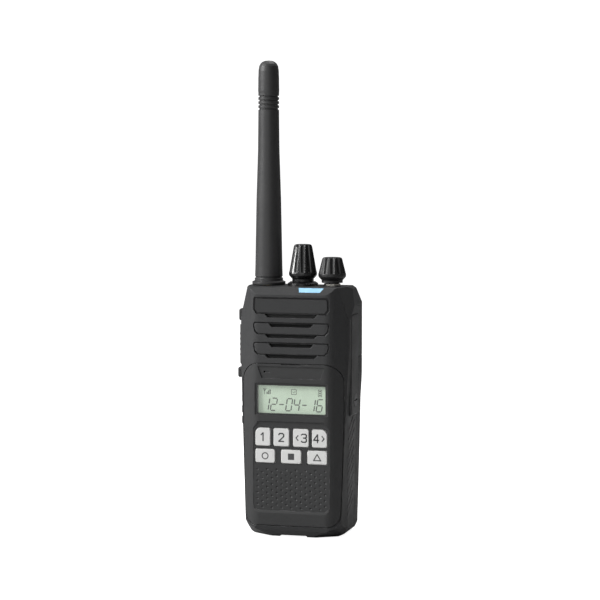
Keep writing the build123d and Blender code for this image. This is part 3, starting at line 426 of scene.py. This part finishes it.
def buildBoardMaterial():
    # solder mask with faint copper runs under it
    look = {"scale": 160.0, "first": (0.010, 0.070, 0.030, 1), "second": (0.016, 0.105, 0.045, 1),
            "run": (0.035, 0.16, 0.06, 1), "runWidth": 0.05, "bumpDepth": 0.00005, "rough": 0.3}
    material, tree, shader = startMaterial("circuitBoard")
    place = addNode(tree, "ShaderNodeTexCoord", (-1100, 0))
    runs = addNode(tree, "ShaderNodeTexBrick", (-850, 100))
    runs.inputs["Scale"].default_value = look["scale"]
    runs.inputs["Color1"].default_value = look["first"]
    runs.inputs["Color2"].default_value = look["second"]
    runs.inputs["Mortar"].default_value = look["run"]
    runs.inputs["Mortar Size"].default_value = look["runWidth"]
    turn = addNode(tree, "ShaderNodeMapping", (-950, -100))
    turn.inputs["Rotation"].default_value = (math.pi / 2, 0, 0)
    tree.links.new(place.outputs["Object"], turn.inputs["Vector"])
    tree.links.new(turn.outputs["Vector"], runs.inputs["Vector"])
    tree.links.new(runs.outputs["Color"], shader.inputs["Base Color"])
    bump = addNode(tree, "ShaderNodeBump", (-400, -200))
    bump.inputs["Distance"].default_value = look["bumpDepth"]
    tree.links.new(runs.outputs["Fac"], bump.inputs["Height"])
    tree.links.new(bump.outputs["Normal"], shader.inputs["Normal"])
    shader.inputs["Roughness"].default_value = look["rough"]
    return material


def buildMeshMaterial():
    # woven dust mesh and pressed cone: crossed fine bands
    look = {"weaveScale": 700.0, "hole": (0.002, 0.002, 0.002), "thread": (0.014, 0.014, 0.014),
            "bumpDepth": 0.0001, "rough": 0.85}
    material, tree, shader = startMaterial("wovenMesh")
    place = addNode(tree, "ShaderNodeTexCoord", (-1100, 0))
    across = addNode(tree, "ShaderNodeTexWave", (-800, 150), bands_direction="X")
    down = addNode(tree, "ShaderNodeTexWave", (-800, -150), bands_direction="Z")
    for wave in (across, down):
        wave.inputs["Scale"].default_value = look["weaveScale"]
        tree.links.new(place.outputs["Object"], wave.inputs["Vector"])
    weave = mathNode(tree, "MAXIMUM", (-550, 0), across.outputs["Fac"], down.outputs["Fac"])
    colour = mixColour(tree, (-300, 100), weave, look["hole"], look["thread"])
    tree.links.new(colour, shader.inputs["Base Color"])
    bump = addNode(tree, "ShaderNodeBump", (-300, -200))
    bump.inputs["Distance"].default_value = look["bumpDepth"]
    tree.links.new(weave, bump.inputs["Height"])
    tree.links.new(bump.outputs["Normal"], shader.inputs["Normal"])
    shader.inputs["Roughness"].default_value = look["rough"]
    return material


displayGroundPaintedGlow = buildDisplayMaterial()
segmentInk = buildSegmentMaterial("segmentInk", (0.075, 0.085, 0.07), (0.10, 0.11, 0.09), 0.35)
legendInk = buildSegmentMaterial("legendInk", (0.045, 0.045, 0.048), (0.065, 0.065, 0.068), 0.4)
clearLens = buildLensMaterial()
lightGuide = buildLightBarMaterial()
circuitBoard = buildBoardMaterial()
wovenMesh = buildMeshMaterial()

finishes = {
    casePlastic: ["front_case"],
    panelPlastic: ["front_panel", "jack_cover", "pack_latch"],
    platePlastic: ["name_plate"],
    packPlastic: ["battery_case"],
    antennaRubber: ["antenna_sleeve"],
    keyRubber: ["upper_side_key", "talk_key", "lower_side_key", "microphone_boot", "case_gasket"],
    silicone: ["key_mat", "side_membrane"],
    glossKnob: ["selector_knob", "selector_escutcheon"],
    satinKnob: ["volume_knob"],
    whiteMoulding: ["key_1", "key_2", "key_3", "key_4", "key_5", "key_6", "key_7", "selector_pointer",
                    "lcd_holder"],
    springSteel: ["shield_cans", "case_screws", "selector_shaft", "volume_shaft", "clip_screws", "clip_pin",
                  "clip_spring", "speaker_basket"],
    nickelPlate: ["dome_switches", "speaker_magnet", "microphone", "antenna_nut", "ring_nuts"],
    contactGold: ["antenna_connector", "antenna_pin", "terminal_springs", "battery_terminals"],
    copperWire: ["antenna_coil"],
    dieCast: ["chassis"],
    blackMoulding: ["terminal_block", "selector_switch", "volume_switch", "jack_block", "clip_bracket",
                    "belt_clip"],
    blackScrew: ["cover_screw"],
    cellWrap: ["battery_cells"],
    displayGroundPaintedGlow: ["lcd_glass"],
    clearLens: ["display_window"],
    lightGuide: ["light_bar"],
    circuitBoard: ["main_board", "side_board"],
    wovenMesh: ["speaker_mesh", "speaker_cone"],
}
for material, names in finishes.items():
    for name in names:
        piece = nodes[name]
        if not piece.material_slots:
            piece.data.materials.append(material)
        for entry in piece.material_slots:
            entry.material = material
unfinished = sorted(set(nodes) - {name for names in finishes.values() for name in names})
print("finishes set, left over:", unfinished)


# thin printed and switched marks, drawn as flat outlines in X and Z

def prism(name, outlines, front, depth, material, body):
    mesh = bpy.data.meshes.new(name)
    work = bmesh.new()
    for outline in outlines:
        near = [work.verts.new((x * mm, front * mm, z * mm)) for x, z in outline]
        far = [work.verts.new((x * mm, (front + depth) * mm, z * mm)) for x, z in outline]
        work.faces.new(near)
        work.faces.new(list(reversed(far)))
        for i in range(len(near)):
            j = (i + 1) % len(near)
            work.faces.new((near[j], near[i], far[i], far[j]))
    bmesh.ops.recalc_face_normals(work, faces=work.faces)
    work.to_mesh(mesh)
    work.free()
    piece = bpy.data.objects.new(name, mesh)
    bpy.context.scene.collection.objects.link(piece)
    mesh.materials.append(material)
    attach(piece, body)
    return piece


overlapShare = 0.35      # how far a bar runs past each corner, in bar widths


def stroke(points, width):
    # one flat bar per leg of a polyline
    bars = []
    for (x0, z0), (x1, z1) in zip(points[:-1], points[1:]):
        along = Vector((x1 - x0, z1 - z0)).normalized()
        across = Vector((-along.y, along.x)) * width / 2
        reach = along * width * overlapShare
        bars.append([(x0 - reach.x + across.x, z0 - reach.y + across.y),
                     (x0 - reach.x - across.x, z0 - reach.y - across.y),
                     (x1 + reach.x - across.x, z1 + reach.y - across.y),
                     (x1 + reach.x + across.x, z1 + reach.y + across.y)])
    return bars


def upright(left, right, low, top):
    return [(left, top), (left, low), (right, low), (right, top)]


def circleBars(cx, cz, radius, width, count=28):
    bars = []
    for i in range(count):
        a, b = math.tau * i / count, math.tau * (i + 1) / count
        inner, outer = radius - width / 2, radius + width / 2
        bars.append([(cx + outer * math.cos(a), cz + outer * math.sin(a)),
                     (cx + inner * math.cos(a), cz + inner * math.sin(a)),
                     (cx + inner * math.cos(b), cz + inner * math.sin(b)),
                     (cx + outer * math.cos(b), cz + outer * math.sin(b))])
    return bars


rimDepth = 0.0003        # metres behind the front plane that still count as the cap's face


def frontFace(node):
    # outline of the cap, not of the flange behind it
    low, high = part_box(node)
    rim = [v.co for v in nodes[node].data.vertices if v.co.y < low.y + rimDepth]
    xs = [p.x for p in rim]
    zs = [p.z for p in rim]
    return (min(xs) + max(xs)) / 2 / mm, low.y / mm, (min(zs) + max(zs)) / 2 / mm


legendSettings = {"stroke": 0.62, "height": 3.9, "width": 2.5, "proud": 0.03, "sunk": 0.08,
                  "pairShift": -1.65, "pairPitch": 3.2, "chevronStroke": 0.52, "chevronHeight": 2.9,
                  "chevronWidth": 1.9, "outline": 0.5, "ringRadius": 1.5, "squareHalf": 1.55,
                  "triangleTop": 1.6, "triangleLow": 1.4, "triangleHalf": 1.8}
digitStrokes = {     # numerals on a unit box, drawn as polylines
    "1": [[(0.15, 0.75), (0.55, 1.0), (0.55, 0.0)]],
    "2": [[(0.0, 0.82), (0.2, 1.0), (0.8, 1.0), (1.0, 0.82), (1.0, 0.62), (0.0, 0.0), (1.0, 0.0)]],
    "3": [[(0.0, 0.9), (0.2, 1.0), (0.8, 1.0), (1.0, 0.85), (1.0, 0.65), (0.75, 0.52), (0.4, 0.52)],
          [(0.75, 0.52), (1.0, 0.38), (1.0, 0.15), (0.8, 0.0), (0.2, 0.0), (0.0, 0.1)]],
    "4": [[(0.78, 0.0), (0.78, 1.0), (0.0, 0.3), (1.0, 0.3)]],
    "<": [[(0.62, 0.92), (0.1, 0.5), (0.62, 0.08)]],
    ">": [[(0.38, 0.92), (0.9, 0.5), (0.38, 0.08)]],
}


def drawDigit(mark, cx, cz, width, height, thick):
    bars = []
    for line in digitStrokes[mark]:
        points = [(cx + (x - 0.5) * width, cz + (z - 0.5) * height) for x, z in line]
        bars += stroke(points, thick)
    return bars


def buildLegends():
    s = legendSettings

    def addLegend(key, bars, front):
        prism("legend_" + key, bars, front - s["proud"], s["sunk"], legendInk, "button_" + key[-1])

    rows = {"key_1": "1", "key_2": "2", "key_3": "<3", "key_4": "4>"}
    for key, marks in rows.items():
        x, y, z = frontFace(key)
        bars = []
        shift = s["pairShift"] if len(marks) == 2 else 0.0
        for index, mark in enumerate(marks):
            kind = ("chevronWidth", "chevronHeight", "chevronStroke") if mark in "<>" else \
                ("width", "height", "stroke")
            width, height, thick = (s[name] for name in kind)
            bars += drawDigit(mark, x + shift + s["pairPitch"] * index, z, width, height, thick)
        addLegend(key, bars, y)
    x, y, z = frontFace("key_5")
    addLegend("key_5", circleBars(x, z, s["ringRadius"], s["outline"]), y)
    x, y, z = frontFace("key_6")
    half = s["squareHalf"]
    addLegend("key_6", [upright(x - half, x + half, z - half, z + half)], y)
    x, y, z = frontFace("key_7")
    top, low, half = z + s["triangleTop"], z - s["triangleLow"], s["triangleHalf"]
    addLegend("key_7", stroke([(x, top), (x + half, low), (x - half, low), (x, top)], s["outline"]), y)
    print("key legends drawn")


readoutSettings = {"text": "12-04-16", "height": 6.0, "width": 2.7, "pitch": 3.85, "slant": 0.16,
                   "thick": 0.6, "gap": 0.14, "left": -14.9, "low": 62.5, "lift": 0.02, "depth": 0.05}
segmentsOf = {"0": "abcdef", "1": "bc", "2": "abged", "4": "fgbc", "6": "afgedc", "-": "g"}


def segmentOutline(x0, z0, x1, z1, thick, slant, base):
    # six-sided bar between two points, leaned over with height
    along = Vector((x1 - x0, z1 - z0)).normalized()
    across = Vector((-along.y, along.x)) * thick / 2
    tip = along * thick / 2
    points = [(x0, z0),
              (x0 + tip.x - across.x, z0 + tip.y - across.y),
              (x1 - tip.x - across.x, z1 - tip.y - across.y),
              (x1, z1),
              (x1 - tip.x + across.x, z1 - tip.y + across.y),
              (x0 + tip.x + across.x, z0 + tip.y + across.y)]
    return [(x + slant * (z - base), z) for x, z in points]


iconSettings = {"mastLeft": -14.7, "mastMiddle": -13.9, "mastRight": -13.1, "mastTop": 73.3, "mastFork": 71.9,
                "mastLow": 70.5, "armThick": 0.28, "mastThick": 0.3,
                "barLeft": -12.9, "barPitch": 0.75, "barWidth": 0.5, "barTop": 71.6, "barRise": 0.6,
                "barLow": 70.4,
                "boxLeft": -0.3, "boxRight": 2.1, "boxLow": 70.6, "boxTop": 73.0, "boxThick": 0.26,
                "tick": [(0.3, 71.9), (0.9, 71.4), (1.6, 72.2)], "tickThick": 0.22,
                "cellLeft": 13.2, "cellRight": 14.9, "cellLow": 69.9, "cellTop": 73.2, "cellThick": 0.26,
                "chargeLeft": 13.6, "chargeRight": 14.5, "chargeLow": 70.3, "chargePitch": 0.95,
                "chargeHeight": 0.6}


def frameBars(left, right, low, top, thick):
    return stroke([(left, low), (right, low), (right, top), (left, top), (left, low)], thick)


def iconBars():
    s = iconSettings
    # signal: mast and rising bars
    mast = s["mastMiddle"]
    bars = stroke([(s["mastLeft"], s["mastTop"]), (mast, s["mastFork"]), (s["mastRight"], s["mastTop"])],
                  s["armThick"])
    bars += stroke([(mast, s["mastTop"]), (mast, s["mastLow"])], s["mastThick"])
    for step in range(3):
        left = s["barLeft"] + s["barPitch"] * step
        bars.append(upright(left, left + s["barWidth"], s["barLow"], s["barTop"] + s["barRise"] * step))
    # scan: box with a tick
    bars += frameBars(s["boxLeft"], s["boxRight"], s["boxLow"], s["boxTop"], s["boxThick"])
    bars += stroke(s["tick"], s["tickThick"])
    # charge: upright cell with three bars
    bars += frameBars(s["cellLeft"], s["cellRight"], s["cellLow"], s["cellTop"], s["cellThick"])
    for step in range(3):
        z = s["chargeLow"] + s["chargePitch"] * step
        bars.append(upright(s["chargeLeft"], s["chargeRight"], z, z + s["chargeHeight"]))
    return bars


def buildReadout():
    s = readoutSettings
    low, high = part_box("lcd_glass")
    front = low.y / mm - s["lift"]
    bars = []
    for index, mark in enumerate(s["text"]):
        x = s["left"] + s["pitch"] * index
        w, h, z = s["width"], s["height"], s["low"]
        ends = {"a": (x, z + h, x + w, z + h), "g": (x, z + h / 2, x + w, z + h / 2), "d": (x, z, x + w, z),
                "f": (x, z + h / 2, x, z + h), "b": (x + w, z + h / 2, x + w, z + h),
                "e": (x, z, x, z + h / 2), "c": (x + w, z, x + w, z + h / 2)}
        for part in segmentsOf[mark]:
            x0, z0, x1, z1 = ends[part]
            lean = Vector((x1 - x0, z1 - z0)).normalized() * s["gap"]
            bars.append(segmentOutline(x0 + lean.x, z0 + lean.y, x1 - lean.x, z1 - lean.y,
                                       s["thick"], s["slant"], z))
    bars += iconBars()
    prism("readout", bars, front, s["depth"], segmentInk, "radio")
    print("display read-out drawn:", len(bars), "marks")


buildLegends()
buildReadout()


# floor, light and camera

floorSettings = {"size": 6.0, "colour": (0.50, 0.50, 0.50), "second": (0.54, 0.54, 0.54), "paperScale": 3.0,
                 "rough": 0.9, "glow": 0.95, "sweepRadius": 1.0, "sweepSteps": 16, "wallTop": 4.0}
skySettings = {"seen": 1.0, "strength": 0.42, "darkSide": 0.12, "fadeFrom": -0.1, "fadeTo": 0.6}


def buildFloor():
    s = floorSettings
    mesh = bpy.data.meshes.new("floor")
    h, sweep, steps = s["size"] / 2, s["sweepRadius"], s["sweepSteps"]
    # floor that sweeps up into a wall far behind
    profile = [(-h, 0.0)]
    for i in range(steps + 1):
        a = math.pi / 2 * i / steps
        profile.append((h - sweep + math.sin(a) * sweep, sweep - math.cos(a) * sweep))
    profile.append((h, s["wallTop"]))
    verts = [(x, y, z) for y, z in profile for x in (-h, h)]
    quads = [(2 * i, 2 * i + 1, 2 * i + 3, 2 * i + 2) for i in range(len(profile) - 1)]
    mesh.from_pydata(verts, [], quads)
    floor = bpy.data.objects.new("floor", mesh)
    bpy.context.scene.collection.objects.link(floor)
    material, tree, shader = startMaterial("floorPaper")
    place = addNode(tree, "ShaderNodeTexCoord", (-900, 0))
    paper = addNode(tree, "ShaderNodeTexNoise", (-650, 0))
    paper.inputs["Scale"].default_value = s["paperScale"]
    tree.links.new(place.outputs["Object"], paper.inputs["Vector"])
    tone = mixColour(tree, (-300, 0), paper.outputs["Fac"], s["colour"], s["second"])
    tree.links.new(tone, shader.inputs["Base Color"])
    shader.inputs["Roughness"].default_value = s["rough"]
    shader.inputs["Emission Color"].default_value = (1, 1, 1, 1)
    seen = addNode(tree, "ShaderNodeLightPath", (-600, -300))
    glow = mathNode(tree, "MULTIPLY", (-300, -300), seen.outputs["Is Camera Ray"], s["glow"])
    tree.links.new(glow, shader.inputs["Emission Strength"])
    mesh.materials.append(material)


def buildSky():
    s = skySettings
    world = bpy.data.worlds.new("studio")
    world.use_nodes = True
    tree = world.node_tree
    sky = tree.nodes["Background"]
    sky.inputs["Color"].default_value = (1, 1, 1, 1)
    # the backdrop looks white but lights the dark case only softly
    path = addNode(tree, "ShaderNodeLightPath", (-700, 0))
    step = mathNode(tree, "MULTIPLY", (-450, 0), path.outputs["Is Camera Ray"], s["seen"])
    # the room is darker to the right, so the side wall falls into shade
    where = addNode(tree, "ShaderNodeTexCoord", (-1100, -250))
    parts = addNode(tree, "ShaderNodeSeparateXYZ", (-900, -250))
    tree.links.new(where.outputs["Generated"], parts.inputs["Vector"])
    fade = addNode(tree, "ShaderNodeMapRange", (-700, -250))
    fade.inputs["From Min"].default_value = s["fadeFrom"]
    fade.inputs["From Max"].default_value = s["fadeTo"]
    fade.inputs["To Min"].default_value = s["strength"]
    fade.inputs["To Max"].default_value = s["strength"] * s["darkSide"]
    tree.links.new(parts.outputs["X"], fade.inputs["Value"])
    lit = mathNode(tree, "MAXIMUM", (-450, -150), fade.outputs["Result"], step)
    tree.links.new(lit, sky.inputs["Strength"])
    bpy.context.scene.world = world
    bpy.context.scene.view_settings.view_transform = "Standard"


def areaLight(name, place, target, size, power):
    lamp = bpy.data.lights.new(name, "AREA")
    lamp.energy = power
    lamp.size = size
    holder = bpy.data.objects.new(name, lamp)
    holder.location = place
    holder.rotation_euler = (Vector(target) - Vector(place)).to_track_quat("-Z", "Y").to_euler()
    bpy.context.scene.collection.objects.link(holder)


lightSettings = {"aim": (0, 0, 0.09),
                 "keyLight": {"place": (-0.85, -0.45, 0.65), "size": 0.55, "power": 15.0},
                 "fillLight": {"place": (0.1, -1.3, 0.45), "size": 0.8, "power": 1.6},
                 "topLight": {"place": (0.1, 0.35, 1.0), "size": 0.6, "power": 5.0}}


def buildLights():
    s = lightSettings
    for name in ("keyLight", "fillLight", "topLight"):
        areaLight(name, s[name]["place"], s["aim"], s[name]["size"], s[name]["power"])


cameraSettings = {"azimuth": 15.0, "elevation": 4.7, "distance": 1.114, "focal": 138.0, "sensor": 36.0,
                  "near": 0.01, "far": 20.0, "target": (0.0046, -0.0169, 0.1171)}


def buildCamera():
    s = cameraSettings
    data = bpy.data.cameras.new("view")
    data.sensor_width = s["sensor"]
    data.lens = s["focal"]
    data.clip_start = s["near"]
    data.clip_end = s["far"]
    camera = bpy.data.objects.new("view", data)
    a, e = math.radians(s["azimuth"]), math.radians(s["elevation"])
    back = Vector((math.sin(a) * math.cos(e), -math.cos(a) * math.cos(e), math.sin(e)))
    camera.location = Vector(s["target"]) + back * s["distance"]
    camera.rotation_euler = (-back).to_track_quat("-Z", "Y").to_euler()
    bpy.context.scene.collection.objects.link(camera)
    bpy.context.scene.camera = camera


buildFloor()
buildSky()
buildLights()
buildCamera()
print("stage ready")
